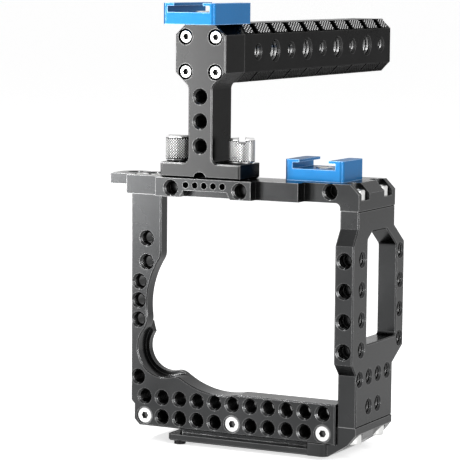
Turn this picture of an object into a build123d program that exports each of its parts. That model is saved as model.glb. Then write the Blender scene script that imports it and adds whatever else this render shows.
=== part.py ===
from build123d import *
import os
from math import cos, radians, sin

# A machined aluminium cage for a small full-frame camera, with a top handle and two cold shoes.
# All sizes are in millimetres. +X points to the closed side of the cage, +Y to the back of the
# camera and +Z up. While the pieces are drawn, x = 0 is the first column of the front hole grid,
# y = 0 is the front face of the front plate, and z = 0 is the surface that the cage stands on.

# --- standard hardware ---------------------------------------------------------------------
QUARTER_R = 2.6            # 1/4"-20 tapped hole, at the crest of its thread
QUARTER_MOUTH_R = 3.4      # its countersunk mouth
THREE_EIGHTHS_R = 3.95     # 3/8"-16 tapped hole, at the crest of its thread
THREE_EIGHTHS_MOUTH_R = 4.7
QUARTER_SHANK_R = 3.12     # plain envelope of a 1/4"-20 screw
QUARTER_CLEAR_R = 3.2      # hole that such a screw turns in
SMALL_SHANK_R = 1.5        # M3 socket screw
SMALL_HEAD_R = 2.75
SMALL_HEAD_H = 3.0
SMALL_POCKET_R = 3.3
SUNK_SHANK_R = 2.0         # M4 countersunk screw
SUNK_HEAD_R = 3.5
SUNK_POCKET_R = 3.7
SUNK_HEAD_H = 2.2
CORNER_SHANK_R = 2.0       # M4 socket screw that holds the side frame
CORNER_HEAD_R = 3.5
CORNER_HEAD_H = 4.0
CORNER_POCKET_R = 4.0
SCREW_GAP = 0.05           # between a screw's envelope and its hole
EDGE = 0.5                 # broken edges of the milled plates
OVERRUN = 1.0              # how far a cutter runs past the face it opens

# --- the cage as a whole -------------------------------------------------------------------
GRID_PITCH = 8.2
GRID_COLUMNS = 11
GRID_LOW_Z = 11.0          # lower row of the front grid
CAGE_RIGHT = 95.95
WALL = 8.24                # thickness of the side frame
BASE_TOP = 14.1
SIDE_TOP = 101.5
PLATE_BOTTOM = 104.5
PLATE_TOP = 112.2
SIDE_FRONT = 1.77
SIDE_REAR = 38.0
OPTICAL_X = 36.0           # the lens axis
OPTICAL_Z = 57.8
SIDE_INNER = CAGE_RIGHT - WALL
SIDE_MID_X = CAGE_RIGHT - WALL / 2

# --- base plate ----------------------------------------------------------------------------
BASE_LEFT = -5.0
BASE_REAR = 46.0
SLAB_BOTTOM = 6.7
RAIL_LEFT = 10.3
RAIL_RIGHT = 83.5
RAIL_BOTTOM = 1.4
LIP_TOP = 4.1
LIP_FRONT = 0.5
LIP_REAR = 43.5
GROOVE_DEPTH = 5.5
STOP_LEFT = 74.0
STOP_FRONT = 0.2
PAD_LEFT = 22.0            # the raised flat that the tripod plate or table touches
PAD_RIGHT = 72.0
PAD_FRONT = 11.0
PAD_REAR = 43.0
STOP_PIN_R = 2.4
STOP_PIN_H = 3.9
STOP_PIN_X = 15.2
STOP_PIN_Y = 3.2
CAMERA_SCREW_Y = 24.0
THREE_EIGHTHS_X = 52.0
QUARTER_X = 64.0
CAMERA_HEAD_R = 6.5
CAMERA_HEAD_POCKET_R = 7.0
CAMERA_HEAD_SEAT = 6.2
CAMERA_HEAD_H = 4.4
STUD_HEIGHT = 5.4
CLIP_POCKET_R = 6.0
CLIP_POCKET_DEPTH = 1.6
CLIP_T = 0.9
CLIP_BORE_R = 2.5
CLIP_R = 5.0
GRID_SCREW_L = 10.0        # how far the front plate's screws enter the base
SIDE_SCREW_SEAT = 10.6
SIDE_SCREW_L = 14.0
SIDE_SCREW_YS = (8.2, 30.9)

# --- front plate ---------------------------------------------------------------------------
FRONT_T = 9.8
LENS_EDGE_T = 5.4          # the plate is thinner beside the lens mount
LENS_RELIEF = 2.6
LENS_RELIEF_Z = 44.0
COLUMN_LEFT = -6.6
COLUMN_RIGHT = 7.4
FRONT_RIGHT = SIDE_INNER - 0.16
GRID_TOP = 23.4
LENS_R = 35.2
RELEASE_X = 8.45
RELEASE_Z = 39.6
RELEASE_R = 11.8
RELEASE_DEPTH = 7.0        # the lens release sits in a stepped recess
RELEASE_LEDGE_R = 10.1
LENS_CORNERS = ((2.2, 47.9, 8.0), (13.4, 30.8, 6.0), (7.4, 78.1, 6.0))
COLUMN_HOLES = ((0.7, 85.7), (0.7, 75.8), (-2.7, 67.4), (-3.1, 59.5), (-3.2, 51.4), (-3.2, 27.2))
GRID_SCREW_COLUMNS = (0, 5, 10)

# --- side frame ----------------------------------------------------------------------------
MIDDLE_FRONT = -2.58
MIDDLE_REAR = 48.62
POST_HOLE_PITCH = 12.2
POST_HOLE_LOW_Z = 45.4
FRONT_POST_Y = 6.1
REAR_POST_Y = 44.7
ROW_FIRST_Y = 5.1
ROW_PITCH = 9.15
ROW_Z = 33.6
LOW_PAIR_Z = 21.3

# --- top plate -----------------------------------------------------------------------------
MIDDLE_FACE = -4.19
RAIL_FACE = -8.81
FRONT_RAIL_LEFT = 9.5
FRONT_RAIL_RIGHT = 53.0
ARM_LEFT = 71.9
HUMP_LEFT = 12.5           # the opening that the viewfinder hump and hot shoe stand in
HUMP_RIGHT = 58.0
BEAM_REAR = 12.5
WING_LEFT = -16.7
WING_T = 4.4
LOBE_R = 6.9
LOBE_Y = 9.3
LOBE_XS = (-9.8, -1.0)
COLUMN_SCREW_XS = (-3.0, 3.8)
COLUMN_SCREW_Y = 3.0
TOP_POCKET_FLOOR = 105.7

# --- cold shoes ----------------------------------------------------------------------------
SHOE_H = 8.5
SHOE_FLOOR = 4.8
SHOE_LIP_T = 1.1
SHOE_CHANNEL_W = 19.0
SHOE_MOUTH_W = 13.0
SHOE_CORNER = 1.6
SHOE_SCREW_HEAD_R = 3.5
SHOE_SCREW_HEAD_H = 2.2
SHOE_SCREW_PROUD = 0.4
CAGE_SHOE_W = 26.0
CAGE_SHOE_X = 73.0
CAGE_SHOE_Y = 18.1
CAGE_SHOE_L = 20.2
HANDLE_SHOE_W = 23.5
HANDLE_SHOE_L = 32.8
HANDLE_SHOE_FRONT = -19.2
HANDLE_SHOE_SCREW_Y = -5.6

# --- handle --------------------------------------------------------------------------------
HANDLE_X = 29.9
HANDLE_DEPTH = 17.0
HANDLE_FRONT = RAIL_FACE
HANDLE_BACK = HANDLE_FRONT + HANDLE_DEPTH
FOOT_DEPTH = 18.2
FOOT_HALF = 18.4
FOOT_H = 6.4
FOOT_CORNER = 2.4
POST_HALF = 5.45
HEAD_HALF = 11.4
HEAD_BOTTOM = 149.7
HEAD_TOP = 174.75
HEAD_SHOULDER = 155.3
HEAD_BEVEL_W = 4.6
HEAD_BEVEL_H = 4.3
POST_HOLE_ZS = (125.6, 135.6, 145.6)
HEAD_SCREW_DX = 6.76
HEAD_SCREW_DZ = 7.03
HEAD_SCREW_Z = 162.6
THUMB_DX = 14.6
THUMB_Y = HANDLE_FRONT + FOOT_DEPTH / 2
THUMB_R = 5.5
THUMB_H = 10.4
THUMB_SLOT_W = 2.6
THUMB_SLOT_D = 1.9
THUMB_REACH = 6.4          # how far the screw enters the top plate
GRIP_BOTTOM = 150.8
GRIP_END = 158.6
GRIP_HOLE_FIRST = 20.7
GRIP_HOLE_PITCH = 15.75
GRIP_HOLE_COUNT = 9
GRIP_HOLE_Z = 163.2

# The finished cage is moved so that its origin is the middle of its footprint, on the ground.
FRAME_X = (WING_LEFT + CAGE_RIGHT) / 2
FRAME_Y = (HANDLE_SHOE_FRONT + GRIP_END) / 2

LOW = (Align.CENTER, Align.CENTER, Align.MIN)
FOOT_TOP = PLATE_TOP + FOOT_H


def block(x0, x1, y0, y1, z0, z1):
    """A rectangular block between two corners."""
    centre = Pos((x0 + x1) / 2, (y0 + y1) / 2, (z0 + z1) / 2)
    return centre * Box(x1 - x0, y1 - y0, z1 - z0)


def front_profile(points, y0, y1):
    """A solid drawn from the front as (x, z) points and milled from y0 back to y1."""
    face = Plane.XZ * make_face(Polyline(*points, close=True))
    return Pos(0, y0, 0) * extrude(face, y1 - y0, dir=(0, 1, 0))


def side_profile(points, x0, x1):
    """A solid drawn from the side as (y, z) points and milled from x0 to x1."""
    face = Plane.YZ * make_face(Polyline(*points, close=True))
    return Pos(x0, 0, 0) * extrude(face, x1 - x0, dir=(1, 0, 0))


def drill(point, into, depth, radius, mouth=0.0):
    """A drill that enters at a point and goes into the metal, with a 45 degree mouth if any."""
    tool = Cylinder(radius, depth, align=LOW)
    if mouth > radius:
        tool += Cone(mouth, radius, mouth - radius, align=LOW)
    return Plane(origin=point, z_dir=into) * tool


def quarter_hole(point, into, depth):
    """A 1/4"-20 tapped hole."""
    return drill(point, into, depth, QUARTER_R, QUARTER_MOUTH_R)


def socket_screw(point, towards, length, head_r=SMALL_HEAD_R, head_h=SMALL_HEAD_H, shank_r=SMALL_SHANK_R):
    """A socket head screw: its head stands on the point and its shank runs on from there."""
    head = Cylinder(head_r, head_h, align=(Align.CENTER, Align.CENTER, Align.MAX))
    shank = Cylinder(shank_r, length, align=LOW)
    return Plane(origin=point, z_dir=towards) * (head + shank)


def corner_screw(point, towards, length):
    """An M4 socket head screw for the corners of the side frame."""
    return socket_screw(point, towards, length, CORNER_HEAD_R, CORNER_HEAD_H, CORNER_SHANK_R)


def near(shape, along, x, z, reach):
    """The straight edges along an axis that stand within reach of a point seen from the front."""
    lines = shape.edges().filter_by(along)
    lines = lines.filter_by_position(Axis.X, x - reach, x + reach)
    return lines.filter_by_position(Axis.Z, z - reach, z + reach)


def sunk_screw(point, towards, length):
    """An M4 countersunk screw, its flat head level with the face that the point is on."""
    head = Cone(SUNK_HEAD_R, SUNK_SHANK_R, SUNK_HEAD_H, align=LOW)
    shank = Cylinder(SUNK_SHANK_R, length, align=LOW)
    return Plane(origin=point, z_dir=towards) * (head + shank)


def sunk_seat(point, towards, length):
    """The pocket that a countersunk screw lies in, a little wider than its head."""
    seat = Cone(SUNK_HEAD_R, SUNK_SHANK_R, SUNK_HEAD_H, align=LOW)
    rim = Cylinder(SUNK_POCKET_R, (SUNK_POCKET_R - SUNK_HEAD_R) * 2, align=LOW)
    shank = Cylinder(SUNK_SHANK_R + SCREW_GAP, length, align=LOW)
    return Plane(origin=point, z_dir=towards) * (seat + rim + shank)


# --- base plate: slab, quick-release rail, end stop and right-hand flange --------------------
def base_plate():
    step = BASE_REAR - SIDE_REAR
    outline = Polyline(
        (BASE_LEFT, FRONT_T),
        (SIDE_INNER, FRONT_T),
        (SIDE_INNER, SIDE_REAR),
        (SIDE_INNER - step, BASE_REAR),
        (BASE_LEFT + step, BASE_REAR),
        (BASE_LEFT, SIDE_REAR),
        close=True,
    )
    slab = Pos(0, 0, SLAB_BOTTOM) * extrude(make_face(outline), BASE_TOP - SLAB_BOTTOM)
    lip = block(RAIL_LEFT, RAIL_RIGHT, LIP_FRONT, LIP_REAR, RAIL_BOTTOM, LIP_TOP)
    lip = fillet(lip.edges().filter_by(Axis.Z), FOOT_CORNER)
    lip = chamfer(lip.faces().sort_by(Axis.Z)[0].edges(), EDGE)
    web_front = LIP_FRONT + GROOVE_DEPTH
    web_rear = LIP_REAR - GROOVE_DEPTH
    web = block(RAIL_LEFT + FOOT_CORNER, RAIL_RIGHT, web_front, web_rear, LIP_TOP, SLAB_BOTTOM)
    web = fillet(web.edges().filter_by(Axis.Z).group_by(Axis.X)[0], FOOT_CORNER)
    stop = block(STOP_LEFT, RAIL_RIGHT, STOP_FRONT, SIDE_REAR, RAIL_BOTTOM, SLAB_BOTTOM)
    stop = fillet(stop.edges().filter_by(Axis.Z).group_by(Axis.Y)[0], FOOT_CORNER)
    flange = front_profile(
        [
            (RAIL_RIGHT - FOOT_CORNER, RAIL_BOTTOM),
            (RAIL_RIGHT + 0.2, RAIL_BOTTOM),
            (89.3, 4.9),
            (92.4, 6.8),
            (CAGE_RIGHT, 11.2),
            (CAGE_RIGHT, BASE_TOP),
            (SIDE_INNER, BASE_TOP),
            (SIDE_INNER, SLAB_BOTTOM),
            (RAIL_RIGHT - FOOT_CORNER, SLAB_BOTTOM),
        ],
        SIDE_FRONT,
        SIDE_REAR,
    )
    pad = block(PAD_LEFT, PAD_RIGHT, PAD_FRONT, PAD_REAR, 0, RAIL_BOTTOM)
    pad = fillet(pad.edges().filter_by(Axis.Z), FOOT_CORNER)
    body = slab + lip + web + stop + flange + pad
    cuts = [
        drill((OPTICAL_X, CAMERA_SCREW_Y, 0), (0, 0, 1), BASE_TOP + OVERRUN, QUARTER_CLEAR_R),
        drill((OPTICAL_X, CAMERA_SCREW_Y, 0), (0, 0, 1), CAMERA_HEAD_SEAT, CAMERA_HEAD_POCKET_R),
        drill((OPTICAL_X, CAMERA_SCREW_Y, BASE_TOP), (0, 0, -1), CLIP_POCKET_DEPTH, CLIP_POCKET_R),
        drill((THREE_EIGHTHS_X, CAMERA_SCREW_Y, 0), (0, 0, 1), BASE_TOP + OVERRUN,
              THREE_EIGHTHS_R, THREE_EIGHTHS_MOUTH_R),
        drill((QUARTER_X, CAMERA_SCREW_Y, 0), (0, 0, 1), BASE_TOP + OVERRUN, QUARTER_R, QUARTER_MOUTH_R),
        drill((STOP_PIN_X, STOP_PIN_Y, 0), (0, 0, 1), STOP_PIN_H, STOP_PIN_R),
    ]
    for column in GRID_SCREW_COLUMNS:
        face_point = (column * GRID_PITCH, FRONT_T, GRID_LOW_Z)
        cuts.append(drill(face_point, (0, 1, 0), GRID_SCREW_L, SUNK_SHANK_R + SCREW_GAP))
    for y in SIDE_SCREW_YS:
        seat = (SIDE_MID_X, y, SIDE_SCREW_SEAT)
        cuts.append(drill(seat, (0, 0, -1), SIDE_SCREW_SEAT, CORNER_POCKET_R))
        cuts.append(drill(seat, (0, 0, 1), BASE_TOP, CORNER_SHANK_R + SCREW_GAP))
    return body - cuts


def base_stop_pin():
    return Pos(STOP_PIN_X, STOP_PIN_Y, 0) * Cylinder(STOP_PIN_R, STOP_PIN_H, align=LOW)


# --- camera screw: slotted head in the base, neck with a clip, threaded stud above ------------
def camera_screw():
    neck_z = BASE_TOP - CLIP_POCKET_DEPTH + SCREW_GAP
    head = Cylinder(CAMERA_HEAD_R, CAMERA_HEAD_H, align=LOW)
    slot = Box(2 * CAMERA_HEAD_R, 1.6, 1.6, align=LOW)
    body = Pos(0, 0, CAMERA_HEAD_SEAT - CAMERA_HEAD_H - SCREW_GAP) * (head - slot)
    shank_h = BASE_TOP + STUD_HEIGHT - CAMERA_HEAD_SEAT + SCREW_GAP
    shank = Cylinder(QUARTER_SHANK_R, shank_h, align=LOW)
    shank = chamfer(shank.edges().group_by(Axis.Z)[-1], EDGE)
    body += Pos(0, 0, CAMERA_HEAD_SEAT - SCREW_GAP) * shank
    groove = Cylinder(QUARTER_SHANK_R + OVERRUN, CLIP_T, align=LOW)
    groove -= Cylinder(CLIP_BORE_R, CLIP_T, align=LOW)
    body -= Pos(0, 0, neck_z) * groove
    return Pos(OPTICAL_X, CAMERA_SCREW_Y, 0) * body


def camera_screw_clip():
    ring = Circle(CLIP_R) - Circle(CLIP_BORE_R)
    ring -= Pos(0, -CLIP_R / 2) * Rectangle(CLIP_BORE_R * 1.6, CLIP_R)
    ring += [Pos(CLIP_BORE_R * s, -CLIP_R * 0.7) * Circle(0.9) for s in (-1.15, 1.15)]
    neck_z = BASE_TOP - CLIP_POCKET_DEPTH + SCREW_GAP
    return Pos(OPTICAL_X, CAMERA_SCREW_Y, neck_z) * extrude(ring, CLIP_T)


# --- front plate: hole grid below, column at the left, cut round the lens and its release -----
def plate_outline(release_r):
    """The plate seen from the front, cut round the lens mount and the lens release."""
    outline = Polyline(
        (COLUMN_LEFT, 17.0),
        (COLUMN_LEFT + 1.5, 15.5),
        (COLUMN_LEFT + 1.5, SLAB_BOTTOM + 2.4),
        (COLUMN_LEFT + 3.9, SLAB_BOTTOM),
        (FRONT_RIGHT, SLAB_BOTTOM),
        (FRONT_RIGHT, GRID_TOP),
        (OPTICAL_X, GRID_TOP),
        (OPTICAL_X, RELEASE_Z),
        (COLUMN_RIGHT, RELEASE_Z),
        (COLUMN_RIGHT, PLATE_BOTTOM),
        (COLUMN_LEFT, PLATE_BOTTOM),
        close=True,
    )
    face = make_face(outline) - Pos(OPTICAL_X, OPTICAL_Z) * Circle(LENS_R)
    face -= Pos(RELEASE_X, RELEASE_Z) * Circle(release_r)
    for x, z, radius in LENS_CORNERS:
        face = fillet(face.vertices().sort_by_distance((x, z, 0))[0], radius)
    return Plane.XZ * face


def front_plate():
    plate = extrude(plate_outline(RELEASE_R), RELEASE_DEPTH, dir=(0, 1, 0))
    rear = extrude(plate_outline(RELEASE_LEDGE_R), FRONT_T - RELEASE_DEPTH, dir=(0, 1, 0))
    plate += Pos(0, RELEASE_DEPTH, 0) * rear
    through = FRONT_T + 2 * OVERRUN
    relief = drill((OPTICAL_X, LENS_EDGE_T, OPTICAL_Z), (0, 1, 0), through, LENS_R + LENS_RELIEF)
    relief += block(COLUMN_RIGHT - LENS_RELIEF, OPTICAL_X, LENS_EDGE_T, through, OPTICAL_Z, PLATE_BOTTOM)
    plate -= relief & block(COLUMN_LEFT, OPTICAL_X, 0, through, LENS_RELIEF_Z, PLATE_BOTTOM)
    plate = chamfer(plate.faces().sort_by(Axis.Y)[0].edges(), EDGE)
    cuts = []
    for row in range(2):
        for column in range(GRID_COLUMNS):
            point = (column * GRID_PITCH, 0, GRID_LOW_Z + row * GRID_PITCH)
            if row == 0 and column in GRID_SCREW_COLUMNS:
                cuts.append(sunk_seat(point, (0, 1, 0), FRONT_T))
            else:
                cuts.append(quarter_hole(point, (0, 1, 0), FRONT_T))
    for x, z in COLUMN_HOLES:
        cuts.append(quarter_hole((x, 0, z), (0, 1, 0), FRONT_T))
    for x in COLUMN_SCREW_XS:
        cuts.append(drill((x, COLUMN_SCREW_Y, PLATE_BOTTOM), (0, 0, -1), 12, SMALL_SHANK_R + SCREW_GAP))
    return plate - cuts


def front_plate_screw(column):
    return sunk_screw((column * GRID_PITCH, 0, GRID_LOW_Z), (0, 1, 0), FRONT_T + GRID_SCREW_L - 1)


# --- side frame: eight-sided frame with a window for the camera's port doors -----------------
def side_frame():
    frame = side_profile(
        [
            (SIDE_FRONT, BASE_TOP),
            (SIDE_FRONT, 35.3),
            (MIDDLE_FRONT, 40.1),
            (MIDDLE_FRONT, 88.0),
            (SIDE_FRONT, 94.4),
            (SIDE_FRONT, SIDE_TOP),
            (SIDE_REAR, SIDE_TOP),
            (SIDE_REAR, 93.5),
            (MIDDLE_REAR, 85.9),
            (MIDDLE_REAR, 42.0),
            (SIDE_REAR, 35.8),
            (SIDE_REAR, BASE_TOP),
        ],
        SIDE_INNER,
        CAGE_RIGHT,
    )
    window = side_profile(
        [
            (11.4, 47.0),
            (11.4, 89.4),
            (15.8, 92.4),
            (30.2, 92.4),
            (40.8, 84.8),
            (40.8, 47.0),
        ],
        SIDE_INNER - OVERRUN,
        CAGE_RIGHT + OVERRUN,
    )
    window = fillet(window.edges().filter_by(Axis.X), 1.5)
    frame -= window
    frame = chamfer(frame.faces().sort_by(Axis.X)[-1].edges(), EDGE)
    frame = chamfer(frame.faces().sort_by(Axis.X)[0].outer_wire().edges(), EDGE)
    cuts = []
    for step in range(4):
        z = POST_HOLE_LOW_Z + step * POST_HOLE_PITCH
        cuts.append(quarter_hole((CAGE_RIGHT, FRONT_POST_Y, z), (-1, 0, 0), WALL))
        cuts.append(quarter_hole((CAGE_RIGHT, REAR_POST_Y, z), (-1, 0, 0), WALL))
        cuts.append(quarter_hole((SIDE_MID_X, MIDDLE_FRONT, z), (0, 1, 0), 5.4))
        cuts.append(quarter_hole((CAGE_RIGHT, ROW_FIRST_Y + step * ROW_PITCH, ROW_Z), (-1, 0, 0), WALL))
    for step in (1, 2):
        cuts.append(quarter_hole((CAGE_RIGHT, ROW_FIRST_Y + step * ROW_PITCH, LOW_PAIR_Z), (-1, 0, 0), WALL))
    for y in SIDE_SCREW_YS:
        cuts.append(drill((SIDE_MID_X, y, BASE_TOP), (0, 0, 1), 11, CORNER_SHANK_R + SCREW_GAP))
        cuts.append(drill((SIDE_MID_X, y, SIDE_TOP), (0, 0, -1), 7, CORNER_SHANK_R + SCREW_GAP))
    return frame - cuts


def side_base_screw(y):
    return corner_screw((SIDE_MID_X, y, SIDE_SCREW_SEAT), (0, 0, 1), SIDE_SCREW_L)


def side_top_screw(y):
    return corner_screw((SIDE_MID_X, y, TOP_POCKET_FLOOR), (0, 0, -1), TOP_POCKET_FLOOR - SIDE_TOP + 6.5)


# --- top plate: beam, front rail, right-hand arm with its leg, and the left-hand wing ---------
def top_plate():
    outline = Polyline(
        (COLUMN_LEFT, MIDDLE_FACE),
        (FRONT_RAIL_LEFT, MIDDLE_FACE),
        (FRONT_RAIL_LEFT, RAIL_FACE),
        (FRONT_RAIL_RIGHT, RAIL_FACE),
        (FRONT_RAIL_RIGHT, MIDDLE_FACE),
        (ARM_LEFT, MIDDLE_FACE),
        (ARM_LEFT, SIDE_FRONT),
        (CAGE_RIGHT, SIDE_FRONT),
        (CAGE_RIGHT, SIDE_REAR),
        (HUMP_RIGHT, SIDE_REAR),
        (HUMP_RIGHT, BEAM_REAR),
        (HUMP_LEFT, BEAM_REAR),
        (COLUMN_LEFT, FRONT_T + EDGE),
        close=True,
    )
    plate = Pos(0, 0, PLATE_BOTTOM) * extrude(make_face(outline), PLATE_TOP - PLATE_BOTTOM)
    leg = block(SIDE_INNER, CAGE_RIGHT, SIDE_FRONT, SIDE_REAR, SIDE_TOP, PLATE_BOTTOM)
    plate += leg
    wing = block(WING_LEFT, HUMP_LEFT, 0, LOBE_Y, PLATE_TOP - WING_T, PLATE_TOP)
    for x in LOBE_XS:
        wing += Pos(x, LOBE_Y, PLATE_TOP - WING_T) * Cylinder(LOBE_R, WING_T, align=LOW)
    plate += wing
    plate = chamfer(plate.edges().filter_by(Axis.Y).group_by(Axis.X)[-1].sort_by(Axis.Z)[-1], 4.0)
    inner_leg_edge = plate.edges().filter_by(Axis.Y).filter_by_position(
        Axis.X, SIDE_INNER - 0.1, SIDE_INNER + 0.1
    ).sort_by(Axis.Z)[-1]
    plate = fillet(inner_leg_edge, 2.0)
    notch = front_profile(
        [
            (HANDLE_X - 10.2, PLATE_BOTTOM - OVERRUN),
            (HANDLE_X - 7.4, PLATE_BOTTOM + 2.9),
            (HANDLE_X + 12.3, PLATE_BOTTOM + 2.9),
            (HANDLE_X + 14.4, PLATE_BOTTOM - OVERRUN),
        ],
        RAIL_FACE - OVERRUN,
        MIDDLE_FACE,
    )
    cuts = [notch]
    rail_depth = MIDDLE_FACE - RAIL_FACE
    for x in (16.6, 47.9):
        cuts.append(quarter_hole((x, RAIL_FACE, 108.1), (0, 1, 0), rail_depth))
    for step in range(5):
        cuts.append(drill((23.5 + 4.2 * step, RAIL_FACE, 109.6), (0, 1, 0), rail_depth, 1.35))
    cuts.append(quarter_hole((83.2, SIDE_FRONT, 108.9), (0, 1, 0), 6.5))
    for side in (-1, 1):
        point = (HANDLE_X + side * THUMB_DX, THUMB_Y, PLATE_TOP)
        cuts.append(drill(point, (0, 0, -1), PLATE_TOP - PLATE_BOTTOM + OVERRUN, QUARTER_CLEAR_R))
    for x in LOBE_XS:
        cuts.append(quarter_hole((x, LOBE_Y, PLATE_TOP), (0, 0, -1), WING_T + OVERRUN))
    for x in COLUMN_SCREW_XS:
        point = (x, COLUMN_SCREW_Y, PLATE_TOP)
        cuts.append(drill(point, (0, 0, -1), SMALL_HEAD_H, SMALL_POCKET_R))
        cuts.append(drill(point, (0, 0, -1), PLATE_TOP - PLATE_BOTTOM + OVERRUN, SMALL_SHANK_R + SCREW_GAP))
    for y in SIDE_SCREW_YS:
        pocket = Pos(SIDE_MID_X, y, TOP_POCKET_FLOOR) * Cylinder(CORNER_POCKET_R, 10, align=LOW)
        pocket += block(SIDE_MID_X, CAGE_RIGHT + OVERRUN, y - CORNER_POCKET_R, y + CORNER_POCKET_R,
                        TOP_POCKET_FLOOR, PLATE_TOP + OVERRUN)
        cuts.append(pocket)
        point = (SIDE_MID_X, y, TOP_POCKET_FLOOR)
        cuts.append(drill(point, (0, 0, -1), TOP_POCKET_FLOOR, CORNER_SHANK_R + SCREW_GAP))
    shoe_hole = (CAGE_SHOE_X, CAGE_SHOE_Y, PLATE_TOP)
    cuts.append(drill(shoe_hole, (0, 0, -1), 6, SUNK_SHANK_R + SCREW_GAP))
    return plate - cuts


def column_screw(x):
    point = (x, COLUMN_SCREW_Y, PLATE_TOP - SMALL_HEAD_H)
    return socket_screw(point, (0, 0, -1), PLATE_TOP - PLATE_BOTTOM - SMALL_HEAD_H + 11)


# --- cold shoes: milled blocks with a lipped channel from front to back ----------------------
def cold_shoe(x, y_middle, width, length, z, screw_y):
    body = block(-width / 2, width / 2, -length / 2, length / 2, 0, SHOE_H)
    body = fillet(body.edges().filter_by(Axis.Z), SHOE_CORNER)
    half = SHOE_CHANNEL_W / 2
    lip_under = SHOE_H - SHOE_LIP_T
    body -= block(-half, half, -length, length, SHOE_FLOOR, lip_under)
    body -= block(-SHOE_MOUTH_W / 2, SHOE_MOUTH_W / 2, -length, length, lip_under, SHOE_H + OVERRUN)
    body = Pos(x, y_middle, z) * body
    seat = (x, screw_y, z + SHOE_FLOOR)
    sink = drill(seat, (0, 0, -1), SHOE_SCREW_HEAD_H, SHOE_SCREW_HEAD_R + 2 * SCREW_GAP)
    return body - sink - drill(seat, (0, 0, -1), SHOE_FLOOR + OVERRUN, SUNK_SHANK_R + SCREW_GAP)


def shoe_screw(x, y, z):
    """The low pan head screw that holds a shoe down; its head is almost level with the floor."""
    head_h = SHOE_SCREW_HEAD_H + SHOE_SCREW_PROUD
    head = Cylinder(SHOE_SCREW_HEAD_R, head_h, align=LOW)
    shank_h = SHOE_FLOOR - SHOE_SCREW_HEAD_H + 5.5
    shank = Pos(0, 0, -shank_h) * Cylinder(SUNK_SHANK_R, shank_h, align=LOW)
    return Pos(x, y, z + SHOE_FLOOR - SHOE_SCREW_HEAD_H) * (head + shank)


# --- handle: foot, post and head in one piece, with the grip screwed on behind ---------------
def handle_post():
    left = HANDLE_X - POST_HALF
    right = HANDLE_X + POST_HALF
    foot_back = HANDLE_FRONT + FOOT_DEPTH
    foot = block(HANDLE_X - FOOT_HALF, HANDLE_X + FOOT_HALF, HANDLE_FRONT, foot_back, PLATE_TOP, FOOT_TOP)
    foot = chamfer(foot.faces().sort_by(Axis.Z)[0].edges(), 2 * EDGE)
    upper = front_profile(
        [
            (left, FOOT_TOP - FOOT_H / 2),
            (left, HEAD_BOTTOM),
            (HANDLE_X - HEAD_HALF, HEAD_SHOULDER),
            (HANDLE_X - HEAD_HALF, HEAD_TOP - HEAD_BEVEL_H),
            (HANDLE_X - HEAD_HALF + HEAD_BEVEL_W, HEAD_TOP),
            (HANDLE_X + HEAD_HALF - HEAD_BEVEL_W, HEAD_TOP),
            (HANDLE_X + HEAD_HALF, HEAD_TOP - HEAD_BEVEL_H),
            (HANDLE_X + HEAD_HALF, HEAD_SHOULDER),
            (right, HEAD_BOTTOM),
            (right, FOOT_TOP - FOOT_H / 2),
        ],
        HANDLE_FRONT,
        HANDLE_BACK,
    )
    armpits = upper.edges().filter_by(Axis.Y).filter_by_position(Axis.Z, HEAD_BOTTOM - 0.1, HEAD_BOTTOM + 0.1)
    body = foot + fillet(armpits, 3.0)
    roots = near(body, Axis.Y, HANDLE_X, FOOT_TOP, POST_HALF + 0.1)
    roots = roots.filter_by_position(Axis.Z, FOOT_TOP - 0.1, FOOT_TOP + 0.1)
    body = fillet(roots, 2.7)
    front = body.faces().sort_by(Axis.Y)[0].edges().filter_by_position(Axis.Z, FOOT_TOP - 0.1, HEAD_TOP + 0.1)
    body = chamfer(front, EDGE)
    corners = body.edges().filter_by(Axis.Z).filter_by_position(Axis.Z, PLATE_TOP, FOOT_TOP)
    body = fillet(corners, 2 * EDGE)
    cuts = [drill((HANDLE_X, HANDLE_FRONT - OVERRUN, PLATE_TOP), (0, 1, 0), FOOT_DEPTH + 2 * OVERRUN, 3.0)]
    for z in POST_HOLE_ZS:
        cuts.append(quarter_hole((HANDLE_X, HANDLE_FRONT, z), (0, 1, 0), HANDLE_DEPTH))
    for side in (-1, 1):
        thumb_point = (HANDLE_X + side * THUMB_DX, THUMB_Y, FOOT_TOP)
        cuts.append(drill(thumb_point, (0, 0, -1), FOOT_H, QUARTER_CLEAR_R))
        for level in (-1, 1):
            point = (HANDLE_X + side * HEAD_SCREW_DX, HANDLE_FRONT, HEAD_SCREW_Z + level * HEAD_SCREW_DZ)
            cuts.append(drill(point, (0, 1, 0), SMALL_HEAD_H + 0.2, SMALL_POCKET_R))
            cuts.append(drill(point, (0, 1, 0), HANDLE_DEPTH, SMALL_SHANK_R + SCREW_GAP))
    shoe_hole = (HANDLE_X, HANDLE_SHOE_SCREW_Y, HEAD_TOP)
    cuts.append(drill(shoe_hole, (0, 0, -1), 6, SUNK_SHANK_R + SCREW_GAP))
    return body - cuts


def grip_screw(side, level):
    point = (
        HANDLE_X + side * HEAD_SCREW_DX,
        HANDLE_FRONT + SMALL_HEAD_H + 0.2,
        HEAD_SCREW_Z + level * HEAD_SCREW_DZ,
    )
    return socket_screw(point, (0, 1, 0), HANDLE_DEPTH + 5)


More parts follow.
